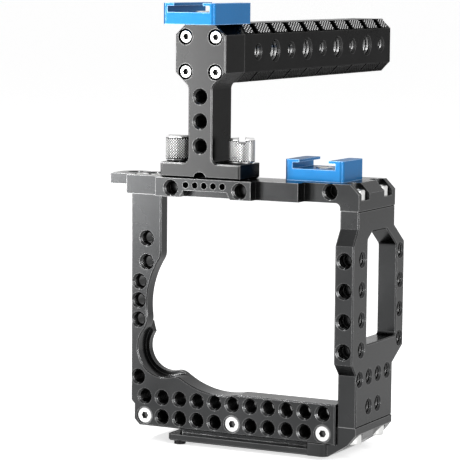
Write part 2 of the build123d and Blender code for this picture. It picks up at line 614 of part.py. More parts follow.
def handle_grip():
    grip = front_profile(
        [
            (HANDLE_X - HEAD_HALF + HEAD_BEVEL_W, GRIP_BOTTOM),
            (HANDLE_X - HEAD_HALF, GRIP_BOTTOM + HEAD_BEVEL_H),
            (HANDLE_X - HEAD_HALF, HEAD_TOP - HEAD_BEVEL_H),
            (HANDLE_X - HEAD_HALF + HEAD_BEVEL_W, HEAD_TOP),
            (HANDLE_X + HEAD_HALF - HEAD_BEVEL_W, HEAD_TOP),
            (HANDLE_X + HEAD_HALF, HEAD_TOP - HEAD_BEVEL_H),
            (HANDLE_X + HEAD_HALF, GRIP_BOTTOM + HEAD_BEVEL_H),
            (HANDLE_X + HEAD_HALF - HEAD_BEVEL_W, GRIP_BOTTOM),
        ],
        HANDLE_BACK,
        GRIP_END,
    )
    grip = chamfer(grip.faces().sort_by(Axis.Y)[-1].edges(), 3 * EDGE)
    width = 2 * HEAD_HALF
    face_x = HANDLE_X + HEAD_HALF
    cuts = []
    for step in range(GRIP_HOLE_COUNT):
        y = GRIP_HOLE_FIRST + step * GRIP_HOLE_PITCH
        wide = step % 2 == 1
        radius = THREE_EIGHTHS_R if wide else QUARTER_R
        mouth = THREE_EIGHTHS_MOUTH_R if wide else QUARTER_MOUTH_R
        cuts.append(drill((face_x, y, GRIP_HOLE_Z), (-1, 0, 0), width, radius, mouth))
        cuts.append(drill((face_x - width, y, GRIP_HOLE_Z), (1, 0, 0), width / 2, radius, mouth))
    for side in (-1, 1):
        for level in (-1, 1):
            point = (HANDLE_X + side * HEAD_SCREW_DX, HANDLE_BACK, HEAD_SCREW_Z + level * HEAD_SCREW_DZ)
            cuts.append(drill(point, (0, 1, 0), 10, SMALL_SHANK_R + SCREW_GAP))
    return grip - cuts


def thumbscrew(side, slot_angle):
    knob = Cylinder(THUMB_R, THUMB_H, align=LOW)
    knob = chamfer(knob.edges(), EDGE)
    slot = Pos(0, 0, THUMB_H - THUMB_SLOT_D) * Box(THUMB_SLOT_W, 3 * THUMB_R, THUMB_SLOT_D * 2, align=LOW)
    knob -= Rot(0, 0, slot_angle) * slot
    reach = FOOT_H + THUMB_REACH
    shank = Cylinder(QUARTER_SHANK_R, reach, align=LOW)
    shank = chamfer(shank.edges().group_by(Axis.Z)[0], EDGE)
    knob += Pos(0, 0, -reach) * shank
    return Pos(HANDLE_X + side * THUMB_DX, THUMB_Y, FOOT_TOP) * knob


def save(node, shape):
    os.makedirs("parts", exist_ok=True)
    export_step(Pos(-FRAME_X, -FRAME_Y, 0) * shape, f"parts/{node}.step")


save("base_plate", base_plate())
save("base_stop_pin", base_stop_pin())
save("camera_screw", camera_screw())
save("camera_screw_clip", camera_screw_clip())
save("front_plate", front_plate())
for name, column in zip(("left", "middle", "right"), GRID_SCREW_COLUMNS):
    save(f"front_plate_screw_{name}", front_plate_screw(column))
save("side_frame", side_frame())
save("top_plate", top_plate())
for name, y in zip(("front", "rear"), SIDE_SCREW_YS):
    save(f"side_base_screw_{name}", side_base_screw(y))
    save(f"side_top_screw_{name}", side_top_screw(y))
for name, x in zip(("left", "right"), COLUMN_SCREW_XS):
    save(f"column_screw_{name}", column_screw(x))
save("cage_shoe", cold_shoe(CAGE_SHOE_X, CAGE_SHOE_Y, CAGE_SHOE_W, CAGE_SHOE_L, PLATE_TOP, CAGE_SHOE_Y))
save("cage_shoe_screw", shoe_screw(CAGE_SHOE_X, CAGE_SHOE_Y, PLATE_TOP))
save("handle_post", handle_post())
save("handle_grip", handle_grip())
for side_name, side in (("left", -1), ("right", 1)):
    for level_name, level in (("lower", -1), ("upper", 1)):
        save(f"grip_screw_{level_name}_{side_name}", grip_screw(side, level))
handle_shoe_middle = HANDLE_SHOE_FRONT + HANDLE_SHOE_L / 2
save(
    "handle_shoe",
    cold_shoe(HANDLE_X, handle_shoe_middle, HANDLE_SHOE_W, HANDLE_SHOE_L, HEAD_TOP, HANDLE_SHOE_SCREW_Y),
)
save("handle_shoe_screw", shoe_screw(HANDLE_X, HANDLE_SHOE_SCREW_Y, HEAD_TOP))
save("thumbscrew_left", thumbscrew(-1, 100))
save("thumbscrew_right", thumbscrew(1, 27))
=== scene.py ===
import bmesh
import bpy
from math import atan2, cos, pi, radians, sin
from mathutils import Matrix, Vector


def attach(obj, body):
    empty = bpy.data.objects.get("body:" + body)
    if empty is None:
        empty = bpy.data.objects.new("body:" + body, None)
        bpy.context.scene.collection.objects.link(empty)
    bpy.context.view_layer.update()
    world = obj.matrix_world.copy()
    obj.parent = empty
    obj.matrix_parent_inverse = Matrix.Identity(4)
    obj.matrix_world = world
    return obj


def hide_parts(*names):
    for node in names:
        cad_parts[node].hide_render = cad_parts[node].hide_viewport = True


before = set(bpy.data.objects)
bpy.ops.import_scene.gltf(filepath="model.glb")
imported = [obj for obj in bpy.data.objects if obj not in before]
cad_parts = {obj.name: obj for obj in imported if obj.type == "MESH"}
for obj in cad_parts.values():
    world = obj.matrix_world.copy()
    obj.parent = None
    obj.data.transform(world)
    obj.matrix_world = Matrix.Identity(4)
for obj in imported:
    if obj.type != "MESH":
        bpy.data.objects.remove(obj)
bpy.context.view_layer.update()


# --- Studio: a pale table that runs back into a white wall. Two small soft boxes at the left light
# the front faces, and two tall strips at the right pick out the side, the bevels and the threads.
CAMERA_PLACE = (0.434765, -0.918550, 0.195810)
CAMERA_YAW, CAMERA_PITCH, CAMERA_ROLL = radians(27.14), radians(7.0), radians(0.48)
LAMP_AIM = Vector((0, -0.05, 0.11))
WALL_LIGHT = 0.36               # what the wall gives as a light; where it is seen it is 1
TABLE_GLOW = 0.64               # brings the table up to white where it is seen, shadow apart
TABLE_HALF = 60.0
TABLE_DROP = 0.0002             # keeps the table's face clear of the base plate's


def look_from(place, yaw, pitch, roll):
    """A view along its own -Z, turned by yaw from +Y, tipped down by pitch and rolled."""
    ahead = Vector((-sin(yaw) * cos(pitch), cos(yaw) * cos(pitch), -sin(pitch)))
    across = Vector((cos(yaw), sin(yaw), 0))
    above = across.cross(ahead)
    right = cos(roll) * across + sin(roll) * above
    up = cos(roll) * above - sin(roll) * across
    turn = Matrix((right, up, -ahead)).transposed().to_4x4()
    return Matrix.Translation(place) @ turn


camera = bpy.data.objects.new("camera", bpy.data.cameras.new("camera"))
bpy.context.scene.collection.objects.link(camera)
camera.matrix_world = look_from(CAMERA_PLACE, CAMERA_YAW, CAMERA_PITCH, CAMERA_ROLL)
camera.data.sensor_width = 36
camera.data.lens = 184.35
camera.data.shift_x = 0.0016
camera.data.shift_y = 0.0668
camera.data.clip_start = 0.05
bpy.context.scene.camera = camera
bpy.context.scene.view_settings.view_transform = "Standard"


def soft_box(name, azimuth, height, distance, width, tall, watts):
    """A rectangular soft box that stands at an azimuth from the front and looks at the object."""
    place = Vector((sin(azimuth) * distance, -cos(azimuth) * distance, height))
    turn = (LAMP_AIM - place).to_track_quat("-Z", "Y").to_matrix().to_4x4()
    lamp = bpy.data.objects.new(name, bpy.data.lights.new(name, "AREA"))
    lamp.data.shape = "RECTANGLE"
    lamp.data.size = width
    lamp.data.size_y = tall
    lamp.data.energy = watts
    lamp.matrix_world = Matrix.Translation(place) @ turn
    bpy.context.scene.collection.objects.link(lamp)


soft_box("soft_box_front_left", azimuth=radians(-36.5), height=0.115, distance=1.26,
         width=0.21, tall=0.26, watts=10.5)
soft_box("soft_box_above_left", azimuth=radians(-75), height=1.05, distance=0.50,
         width=0.20, tall=0.20, watts=5.0)
soft_box("strip_right", azimuth=radians(59), height=0.46, distance=1.10,
         width=0.11, tall=1.10, watts=7.5)
soft_box("strip_front_right", azimuth=radians(42), height=0.42, distance=1.20,
         width=0.08, tall=0.90, watts=3.6)


def seen_directly(tree):
    """Gives 1 to a look from the camera, in a reflection or through glass, and 0 to other light."""
    path = tree.nodes.new("ShaderNodeLightPath")
    seen = path.outputs["Is Camera Ray"]
    for ray in ("Is Glossy Ray", "Is Transmission Ray"):
        either = tree.nodes.new("ShaderNodeMath")
        either.operation = "MAXIMUM"
        tree.links.new(seen, either.inputs[0])
        tree.links.new(path.outputs[ray], either.inputs[1])
        seen = either.outputs[0]
    return seen


world = bpy.data.worlds.new("white_wall")
world.use_nodes = True
bpy.context.scene.world = world
wall = world.node_tree
wall_light = wall.nodes.new("ShaderNodeMapRange")
wall_light.inputs["To Min"].default_value = WALL_LIGHT
wall_light.inputs["To Max"].default_value = 1.0
wall.links.new(seen_directly(wall), wall_light.inputs["Value"])
wall.links.new(wall_light.outputs["Result"], wall.nodes["Background"].inputs["Strength"])
wall.nodes["Background"].inputs["Color"].default_value = (1.0, 1.0, 1.0, 1.0)

table_mesh = bmesh.new()
bmesh.ops.create_grid(table_mesh, x_segments=1, y_segments=1, size=TABLE_HALF)
bmesh.ops.translate(table_mesh, verts=table_mesh.verts, vec=(0, 0, -TABLE_DROP))
table = bpy.data.objects.new("table", bpy.data.meshes.new("table"))
table_mesh.to_mesh(table.data)
table_mesh.free()
bpy.context.scene.collection.objects.link(table)

table_white = bpy.data.materials.new("table_white")
table_white.use_nodes = True
table_tree = table_white.node_tree
table_shader = table_tree.nodes["Principled BSDF"]
table_shader.inputs["Base Color"].default_value = (0.88, 0.88, 0.88, 1)
table_shader.inputs["Roughness"].default_value = 0.9
table_shader.inputs["Specular IOR Level"].default_value = 0.1
table_shader.inputs["Emission Color"].default_value = (1, 1, 1, 1)
table_glow = table_tree.nodes.new("ShaderNodeMath")
table_glow.operation = "MULTIPLY"
table_glow.inputs[1].default_value = TABLE_GLOW
table_tree.links.new(seen_directly(table_tree), table_glow.inputs[0])
table_tree.links.new(table_glow.outputs[0], table_shader.inputs["Emission Strength"])
table.data.materials.append(table_white)


# --- Cage plates: base, front plate, side frame and top plate, milled from aluminium bar, blasted
# with fine beads, dyed black and sealed. The edges are painted lighter, partly as wear and partly
# as painted highlight.
BLAST_GRAIN = 2600.0            # dimples to the metre
BLAST_DRIFT = 45.0              # patches of tone to the metre
ROUGH_SPREAD = 0.05             # how far the roughness drifts with the tone, each way
SEAL_ROUGH = 0.13


def group_sockets(group, inputs, outputs):
    """Named inputs and outputs for an effect that several finishes share."""
    for label, kind, value in inputs:
        socket = group.interface.new_socket(label, in_out="INPUT", socket_type=kind)
        socket.default_value = value
    for label, kind in outputs:
        group.interface.new_socket(label, in_out="OUTPUT", socket_type=kind)
    return group.nodes.new("NodeGroupInput"), group.nodes.new("NodeGroupOutput")


def make_edge_wear_and_highlight():
    """A mask that is 1 along corners, for edge wear and painted highlight, broken up by noise so
    that it is uneven.
    """
    group = bpy.data.node_groups.new("Edge wear and painted highlight", "ShaderNodeTree")
    given, made = group_sockets(
        group,
        [("Width", "NodeSocketFloat", 0.0004), ("Patchiness", "NodeSocketFloat", 0.4)],
        [("Edge", "NodeSocketFloat")],
    )
    nodes, links = group.nodes, group.links
    rounded = nodes.new("ShaderNodeBevel")
    rounded.samples = 6
    surface = nodes.new("ShaderNodeNewGeometry")
    turn = nodes.new("ShaderNodeVectorMath")
    turn.operation = "DOT_PRODUCT"
    spread = nodes.new("ShaderNodeMapRange")
    spread.inputs["From Min"].default_value = 0.99
    spread.inputs["From Max"].default_value = 0.88
    place = nodes.new("ShaderNodeTexCoord")
    patches = nodes.new("ShaderNodeTexNoise")
    patches.inputs["Scale"].default_value = 160.0
    patches.inputs["Detail"].default_value = 4.0
    fade = nodes.new("ShaderNodeMapRange")
    fade.inputs["From Min"].default_value = 0.35
    fade.inputs["From Max"].default_value = 0.65
    fade.inputs["To Max"].default_value = 1.0
    keep = nodes.new("ShaderNodeMath")
    keep.operation = "SUBTRACT"
    keep.inputs[0].default_value = 1.0
    edge = nodes.new("ShaderNodeMath")
    edge.operation = "MULTIPLY"
    links.new(given.outputs["Width"], rounded.inputs["Radius"])
    links.new(rounded.outputs["Normal"], turn.inputs[0])
    links.new(surface.outputs["Normal"], turn.inputs[1])
    links.new(turn.outputs["Value"], spread.inputs["Value"])
    links.new(place.outputs["Object"], patches.inputs["Vector"])
    links.new(given.outputs["Patchiness"], keep.inputs[1])
    links.new(patches.outputs["Fac"], fade.inputs["Value"])
    links.new(keep.outputs[0], fade.inputs["To Min"])
    links.new(spread.outputs["Result"], edge.inputs[0])
    links.new(fade.outputs["Result"], edge.inputs[1])
    links.new(edge.outputs[0], made.inputs["Edge"])
    return group


def make_bead_blast():
    """Fine dimples left by blasting, with a slow drift of tone across the plate."""
    group = bpy.data.node_groups.new("Bead blast", "ShaderNodeTree")
    given, made = group_sockets(
        group,
        [("Grain", "NodeSocketFloat", BLAST_GRAIN), ("Drift", "NodeSocketFloat", BLAST_DRIFT)],
        [("Height", "NodeSocketFloat"), ("Tone", "NodeSocketFloat")],
    )
    nodes, links = group.nodes, group.links
    place = nodes.new("ShaderNodeTexCoord")
    dimples = nodes.new("ShaderNodeTexNoise")
    dimples.inputs["Detail"].default_value = 3.0
    dimples.inputs["Roughness"].default_value = 0.6
    drift = nodes.new("ShaderNodeTexNoise")
    drift.inputs["Detail"].default_value = 5.0
    links.new(place.outputs["Object"], dimples.inputs["Vector"])
    links.new(place.outputs["Object"], drift.inputs["Vector"])
    links.new(given.outputs["Grain"], dimples.inputs["Scale"])
    links.new(given.outputs["Drift"], drift.inputs["Scale"])
    links.new(dimples.outputs["Fac"], made.inputs["Height"])
    links.new(drift.outputs["Fac"], made.inputs["Tone"])
    return group


edge_wear_and_highlight = make_edge_wear_and_highlight()
bead_blast = make_bead_blast()


def anodised(name, dyed, dyed_light, bare_and_highlight, rough, rim=1.0, seal=0.0, edge_width=0.0004,
             bump=0.00002):
    """Anodised aluminium: a dyed surface whose tone drifts, edges painted lighter as wear and
    painted highlight, and a clear seal.
    """
    finish = bpy.data.materials.new(name)
    finish.use_nodes = True
    nodes, links = finish.node_tree.nodes, finish.node_tree.links
    shader = nodes["Principled BSDF"]
    shader.inputs["Metallic"].default_value = 1.0
    shader.inputs["Specular Tint"].default_value = (rim, rim, rim, 1)
    shader.inputs["Coat Weight"].default_value = seal
    shader.inputs["Coat Roughness"].default_value = SEAL_ROUGH
    blast = nodes.new("ShaderNodeGroup")
    blast.node_tree = bead_blast
    edge = nodes.new("ShaderNodeGroup")
    edge.node_tree = edge_wear_and_highlight
    edge.inputs["Width"].default_value = edge_width
    colour = nodes.new("ShaderNodeMix")
    colour.data_type = "RGBA"
    colour.inputs["A"].default_value = (*dyed, 1)
    colour.inputs["B"].default_value = (*dyed_light, 1)
    # Edges take the lighter colour: partly wear, partly painted highlight.
    with_edge = nodes.new("ShaderNodeMix")
    with_edge.data_type = "RGBA"
    with_edge.inputs["B"].default_value = (*bare_and_highlight, 1)
    roughness = nodes.new("ShaderNodeMapRange")
    roughness.inputs["From Min"].default_value = 0.3
    roughness.inputs["From Max"].default_value = 0.7
    roughness.inputs["To Min"].default_value = rough - ROUGH_SPREAD
    roughness.inputs["To Max"].default_value = rough + ROUGH_SPREAD
    dimples = nodes.new("ShaderNodeBump")
    dimples.inputs["Strength"].default_value = 0.5
    dimples.inputs["Distance"].default_value = bump
    links.new(blast.outputs["Tone"], colour.inputs["Factor"])
    links.new(colour.outputs["Result"], with_edge.inputs["A"])
    links.new(edge.outputs["Edge"], with_edge.inputs["Factor"])
    links.new(with_edge.outputs["Result"], shader.inputs["Base Color"])
    links.new(blast.outputs["Tone"], roughness.inputs["Value"])
    links.new(roughness.outputs["Result"], shader.inputs["Roughness"])
    links.new(blast.outputs["Height"], dimples.inputs["Height"])
    links.new(dimples.outputs["Normal"], shader.inputs["Normal"])
    return finish


def give_finish(node, finish):
    """Puts a finish on a plate that keeps its milled shape."""
    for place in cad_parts[node].material_slots:
        place.link = "OBJECT"
        place.material = finish


def grey(value):
    """A colour without a hue."""
    return value, value, value


cage_black = anodised("cage_black", dyed=(0.020, 0.0205, 0.021), dyed_light=(0.029, 0.0295, 0.030),
                      bare_and_highlight=grey(0.24), rough=0.25, rim=0.70, seal=0.2)
for plate in ("base_plate", "front_plate", "side_frame", "top_plate"):
    give_finish(plate, cage_black)


# --- Threads of the cage's tapped holes: 1/4 inch, 20 to the inch, and 3/8 inch, 16 to the inch.
# Each is a right-handed ridge cut by a tap, and its flanks catch the light in the black hole.
FRAME_X, FRAME_Y = 39.625, 69.7             # mm from the drawing's corner to the frame's middle
QUARTER = (0.0026, 0.00127)                 # radius of the bore, and pitch
THREE_EIGHTHS = (0.00395, 0.0015875)
THREAD_FLATS = 20                           # steps to a turn
THREAD_TALL = 0.00034
THREAD_WIDTH = 0.84                         # of a pitch
THREAD_ROOT = 0.00004                       # how far the ridge's foot runs into the wall
THREAD_LEAD = 0.8                           # pitches between the mouth and the ridge
THREAD_LEFT = 0.6                           # of a turn at least, left plain at the bottom

# The holes' places are in mm, as drawn, and their depths in metres.
GRID_PITCH, GRID_COLUMNS, GRID_ROWS = 8.2, 11, 2
GRID_Z = 11
GRID_SCREW_COLUMNS = (0, 5, 10)             # of the lower row, where screws go instead
COLUMN_HOLES = ((0.7, 85.7), (0.7, 75.8), (-2.7, 67.4), (-3.1, 59.5), (-3.2, 51.4), (-3.2, 27.2))
FRONT_PLATE_T, FRONT_PLATE_THIN_T = 0.0098, 0.0054
THIN_ABOVE_Z = 48                           # the front plate is thin beside the lens

SIDE_X, SIDE_T = 95.95, 0.00824
LEG_Z, LEG_PITCH, LEG_COUNT = 45.4, 12.2, 4
LEG_FRONT_Y, LEG_BACK_Y = 6.1, 44.7
LEG_X, LEG_FACE_Y, LEG_FACE_DEPTH = 91.83, -2.58, 0.0054
FOOT_ROW_Y, FOOT_ROW_PITCH = 5.1, 9.15
FOOT_ROWS = ((33.6, (0, 1, 2, 3)), (21.3, (1, 2)))

RAIL_Y = -8.81
TOP_HOLES = (                               # place, direction and depth
    ((16.6, RAIL_Y, 108.1), (0, 1, 0), 0.00462),
    ((47.9, RAIL_Y, 108.1), (0, 1, 0), 0.00462),
    ((83.2, 1.77, 108.9), (0, 1, 0), 0.0065),
    ((-9.8, 9.3, 112.2), (0, 0, -1), 0.0044),
    ((-1.0, 9.3, 112.2), (0, 0, -1), 0.0044),
)
BASE_HOLES = (((64, 24, 0), QUARTER), ((52, 24, 0), THREE_EIGHTHS))
BASE_T = 0.0141


def drawn(x, y, z):
    """A drawn point: mm from the grid's first column, the front plate's face and the table."""
    return Vector((x - FRAME_X, y - FRAME_Y, z)) / 1000


def across(axis):
    """A unit vector square to an axis."""
    return Vector((0, 0, 1)) if abs(axis.z) < 0.5 else Vector((1, 0, 0))


def cut_thread(mesh, mouth, into, depth, radius, pitch, tall=THREAD_TALL, lead=THREAD_LEAD):
    """One tapped hole: a three-sided ridge spun round the hole's axis and down into it."""
    ridge = bmesh.new()
    into = Vector(into)
    out = across(into)
    run_in = lead * pitch
    turns = int((depth - run_in) / pitch - THREAD_LEFT)
    start = mouth + into * run_in
    foot = out * (radius + THREAD_ROOT)
    corners = [
        ridge.verts.new(start + foot),
        ridge.verts.new(start + out * (radius - tall) + into * pitch * THREAD_WIDTH / 2),
        ridge.verts.new(start + foot + into * pitch * THREAD_WIDTH),
    ]
    section = ridge.faces.new(corners)
    bmesh.ops.spin(
        ridge,
        geom=[section] + list(section.edges) + corners,
        cent=start,
        axis=into,
        dvec=into * (pitch / THREAD_FLATS),
        angle=2 * pi * turns,
        steps=THREAD_FLATS * turns,
    )
    cut = bpy.data.meshes.new("ridge")
    ridge.to_mesh(cut)
    ridge.free()
    mesh.from_mesh(cut)
    bpy.data.meshes.remove(cut)


def finish_piece(name, mesh, body, slot, *finishes):
    """Turns a new piece's faces outward, hands it to the body that carries it and gives it its
    finishes; the slot is not used.
    """
    bmesh.ops.recalc_face_normals(mesh, faces=mesh.faces)
    piece = bpy.data.objects.new(name, bpy.data.meshes.new(name))
    mesh.to_mesh(piece.data)
    mesh.free()
    bpy.context.scene.collection.objects.link(piece)
    for finish in finishes:
        piece.data.materials.append(finish)
    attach(piece, body)
    return piece


thread_black = anodised("thread_black", dyed=grey(0.012), dyed_light=grey(0.020), bare_and_highlight=grey(0.05),
                        rough=0.22, rim=0.3, seal=0.5)

front_threads = bmesh.new()
for row in range(GRID_ROWS):
    for column in range(GRID_COLUMNS):
        if row > 0 or column not in GRID_SCREW_COLUMNS:
            mouth = drawn(GRID_PITCH * column, 0, GRID_Z + GRID_PITCH * row)
            cut_thread(front_threads, mouth, (0, 1, 0), FRONT_PLATE_T, *QUARTER)
for x, z in COLUMN_HOLES:
    depth = FRONT_PLATE_T if z < THIN_ABOVE_Z else FRONT_PLATE_THIN_T
    cut_thread(front_threads, drawn(x, 0, z), (0, 1, 0), depth, *QUARTER)
finish_piece("front_plate_threads", front_threads, "cage", "black_anodised_cage", thread_black)

side_threads = bmesh.new()
for step in range(LEG_COUNT):
    level = LEG_Z + LEG_PITCH * step
    for y in (LEG_FRONT_Y, LEG_BACK_Y):
        cut_thread(side_threads, drawn(SIDE_X, y, level), (-1, 0, 0), SIDE_T, *QUARTER)
    leg_mouth = drawn(LEG_X, LEG_FACE_Y, level)
    cut_thread(side_threads, leg_mouth, (0, 1, 0), LEG_FACE_DEPTH, *QUARTER)
for z, steps in FOOT_ROWS:
    for step in steps:
        mouth = drawn(SIDE_X, FOOT_ROW_Y + FOOT_ROW_PITCH * step, z)
        cut_thread(side_threads, mouth, (-1, 0, 0), SIDE_T, *QUARTER)
finish_piece("side_frame_threads", side_threads, "cage", "black_anodised_cage", thread_black)

top_threads = bmesh.new()
for place, into, depth in TOP_HOLES:
    cut_thread(top_threads, drawn(*place), into, depth, *QUARTER)
finish_piece("top_plate_threads", top_threads, "cage", "black_anodised_cage", thread_black)

base_threads = bmesh.new()
for place, size in BASE_HOLES:
    cut_thread(base_threads, drawn(*place), (0, 0, 1), BASE_T, *size)
finish_piece("base_plate_threads", base_threads, "cage", "black_anodised_cage", thread_black)


# --- Handle post: foot, post and head milled in one piece, blasted like the cage and dyed black,
# with three tapped holes up the post.
HANDLE_X = 29.9
POST_HOLES_Z = (125.6, 135.6, 145.6)
POST_T = 0.017

handle_black = anodised("handle_black", dyed=grey(0.023), dyed_light=grey(0.031), bare_and_highlight=grey(0.20),
                        rough=0.30, rim=0.35, seal=0.15)
give_finish("handle_post", handle_black)

post_threads = bmesh.new()
for level in POST_HOLES_Z:
    cut_thread(post_threads, drawn(HANDLE_X, RAIL_Y, level), (0, 1, 0), POST_T, *QUARTER)
finish_piece("handle_post_threads", post_threads, "handle", "black_anodised_handle", thread_black)


# --- Grip: an eight-sided bar screwed to the back of the head, with nine tapped cross holes, every
# second one wide. The four slanting faces carry a rolled knurl, cut through by smooth slanting
# flutes for the fingers: wide ones above and narrow ones below. Each flute's floor is a thin
# sheet painted dark as shade.
GRIP_HALF = 11.4                            # half its width, in mm
GRIP_HOLE_Y, GRIP_HOLE_PITCH = 20.7, 15.75
GRIP_HOLE_Z = 163.2
GRIP_HOLES = 9
GRIP_T = 0.0218
WIDE_THREAD_TALL = 0.00045
GRIP_THREAD_LEAD = 0.6                      # pitches, as the grip's mouths are short
GRIP_START, GRIP_END = 0.0082, 0.1586       # metres from the front plate's face
SLANT_X, SLANT_Z = 4.6, 4.3                 # the slanting faces, in mm across and up
SLANT_FEET = {1: 170.45, -1: 155.1}         # where they meet the upright sides
FLUTES = {1: (0.0036, 0.5), -1: (0.0014, 0.25)}     # width, and slope along the grip
FLUTE_FILL = 0.92                           # how much of a flute its smooth floor fills
FLUTE_SKIN = 0.00003
KNURL_SIDE_GAP = 0.0001                     # plain metal left along each edge of a face
KNURL_END_GAP = 0.0008                      # and at the grip's ends
KNURL_ROWS, KNURL_PITCH = 4, 0.0024
KNURL_PROUD, KNURL_TALL = 0.00012, 0.00036

grip_black = anodised("grip_black", dyed=grey(0.015), dyed_light=grey(0.021), bare_and_highlight=grey(0.18),
                      rough=0.31, rim=0.4, seal=0.15)
give_finish("handle_grip", grip_black)

grip_thread_black = anodised("grip_thread_black", dyed=grey(0.05), dyed_light=grey(0.08),
                             bare_and_highlight=grey(0.20), rough=0.30, rim=0.6, seal=0.6)
grip_threads = bmesh.new()
for step in range(GRIP_HOLES):
    mouth = drawn(HANDLE_X + GRIP_HALF, GRIP_HOLE_Y + GRIP_HOLE_PITCH * step, GRIP_HOLE_Z)
    size, tall = (THREE_EIGHTHS, WIDE_THREAD_TALL) if step % 2 else (QUARTER, THREAD_TALL)
    cut_thread(grip_threads, mouth, (-1, 0, 0), GRIP_T, *size, tall=tall, lead=GRIP_THREAD_LEAD)
finish_piece("grip_threads", grip_threads, "handle", "black_anodised_grip", grip_thread_black)


def make_knurl():
    """Knurled metal: black between the points, the points painted white as wear and as painted
    highlight.
    """
    finish = anodised("knurl_black", dyed=grey(0.010), dyed_light=grey(0.015), bare_and_highlight=grey(0.01),
                      rough=0.36, rim=0.48)
    nodes, links = finish.node_tree.nodes, finish.node_tree.links
    tip_wear_and_highlight = nodes.new("ShaderNodeAttribute")
    tip_wear_and_highlight.attribute_name = "point"
    tip = nodes.new("ShaderNodeMapRange")
    tip.inputs["From Min"].default_value = 0.44
    tip.inputs["From Max"].default_value = 0.60
    # The knurl's points are painted white: partly wear, partly painted highlight.
    bright = nodes.new("ShaderNodeMix")
    bright.data_type = "RGBA"
    bright.inputs["B"].default_value = (1.0, 1.0, 1.0, 1)
    shader = nodes["Principled BSDF"]
    below = shader.inputs["Base Color"].links[0].from_socket
    links.new(tip_wear_and_highlight.outputs["Fac"], tip.inputs["Value"])
    links.new(tip.outputs["Result"], bright.inputs["Factor"])
    links.new(below, bright.inputs["A"])
    links.new(bright.outputs["Result"], shader.inputs["Base Color"])
    return finish


knurl_black = make_knurl()
# Painted shade: a darker finish for the thin sheets on the flutes' floors.
flute_painted_shade = anodised("flute_painted_shade", dyed=grey(0.008), dyed_light=grey(0.014), bare_and_highlight=grey(0.03),
                       rough=0.30, rim=0.15)


def raise_points(mesh, points, squares, tall):
    """Turns a sheet of squares into a knurl of four-sided points, each marked 1 at its tip."""
    sheet = set(squares)
    shared = []
    for square in squares:
        for edge in square.edges:
            inside = len(edge.link_faces) == 2 and sheet.issuperset(edge.link_faces)
            if inside and edge not in shared:
                shared.append(edge)
    middles = bmesh.ops.poke(mesh, faces=squares)["verts"]
    bmesh.ops.dissolve_edges(mesh, edges=shared, use_verts=False)
    diamonds = dict.fromkeys(
        face for middle in middles for face in middle.link_faces if len(face.verts) == 4
    )
    for tip in bmesh.ops.poke(mesh, faces=list(diamonds), offset=tall)["verts"]:
        tip[points] = 1.0


def raise_faces(mesh, faces, rise):
    """Lifts faces by a vector with walls behind them, and gives the lifted faces."""
    raised = bmesh.ops.extrude_face_region(mesh, geom=faces)["geom"]
    corners = [item for item in raised if isinstance(item, bmesh.types.BMVert)]
    bmesh.ops.translate(mesh, verts=corners, vec=rise)
    return [item for item in raised if isinstance(item, bmesh.types.BMFace)]


def slanted_patch(mesh, corner, along, up, out, columns, rows):
    """A grid of faces from a corner, as long as `along` and as wide as `up`, which may lean."""
    grid = bmesh.ops.create_grid(mesh, x_segments=columns, y_segments=rows, size=0.5)["verts"]
    place = Matrix((along, up, out)).transposed().to_4x4()
    place.translation = corner
    bmesh.ops.translate(mesh, verts=grid, vec=(0.5, 0.5, 0))
    bmesh.ops.transform(mesh, verts=grid, matrix=place)
    faces = {face for vert in grid for face in vert.link_faces}
    return sorted(faces, key=lambda face: tuple(face.calc_center_median()))


knurl = bmesh.new()
points = knurl.verts.layers.float.new("point")
along = Vector((0, 1, 0))
first_hole, hole_pitch = GRIP_HOLE_Y / 1000, GRIP_HOLE_PITCH / 1000
for side in (-1, 1):
    for level in (-1, 1):
        foot = drawn(HANDLE_X + side * GRIP_HALF, 0, SLANT_FEET[level])
        ridge = foot + Vector((-side * SLANT_X, 0, level * SLANT_Z)) / 1000
        out = Vector((side * SLANT_Z, 0, level * SLANT_X)).normalized()
        width = (ridge - foot).length
        up = (ridge - foot) / width
        flute, slope = FLUTES[level]
        lean = slope * width
        corner = foot + up * KNURL_SIDE_GAP
        face_width = width - 2 * KNURL_SIDE_GAP
        for land in range(GRIP_HOLES + 1):
            begin = first_hole + hole_pitch * (land - 1) + flute / 2 - lean / 2
            end = first_hole + hole_pitch * land - flute / 2 - lean / 2
            if land == 0:
                begin = GRIP_START + KNURL_END_GAP
            if land == GRIP_HOLES:
                end = GRIP_END - KNURL_END_GAP - lean
            length = end - begin
            squares = slanted_patch(knurl, corner + along * begin, along * length,
                                    (up + along * slope) * face_width, out,
                                    round(length / KNURL_PITCH), KNURL_ROWS)
            raise_points(knurl, points, raise_faces(knurl, squares, out * KNURL_PROUD), KNURL_TALL)
        # Each flute's floor: a thin sheet with the painted shade finish.
        for cut in range(GRIP_HOLES):
            floor = flute * FLUTE_FILL
            begin = first_hole + hole_pitch * cut - floor / 2 - lean / 2
            faces = slanted_patch(knurl, corner + along * begin, along * floor,
                                  up * face_width + along * lean, out, 1, 1)
            for face in faces:
                face.material_index = 1
            raise_faces(knurl, faces, out * FLUTE_SKIN)
finish_piece("grip_knurl", knurl, "handle", "black_anodised_grip", knurl_black, flute_painted_shade)


# --- Cold shoes: milled blocks dyed bright blue, each with a lipped channel for an accessory foot.
# Their faces are fly cut, so they are smoother than the blasted plates, under a clear seal.
shoe_blue = anodised("shoe_blue", dyed=(0.012, 0.140, 0.350), dyed_light=(0.017, 0.163, 0.395),
                     bare_and_highlight=(0.40, 0.62, 0.92), rough=0.54, rim=0.50, seal=0.3,
                     edge_width=0.0005, bump=0.000008)
for shoe in ("cage_shoe", "handle_shoe"):
    give_finish(shoe, shoe_blue)


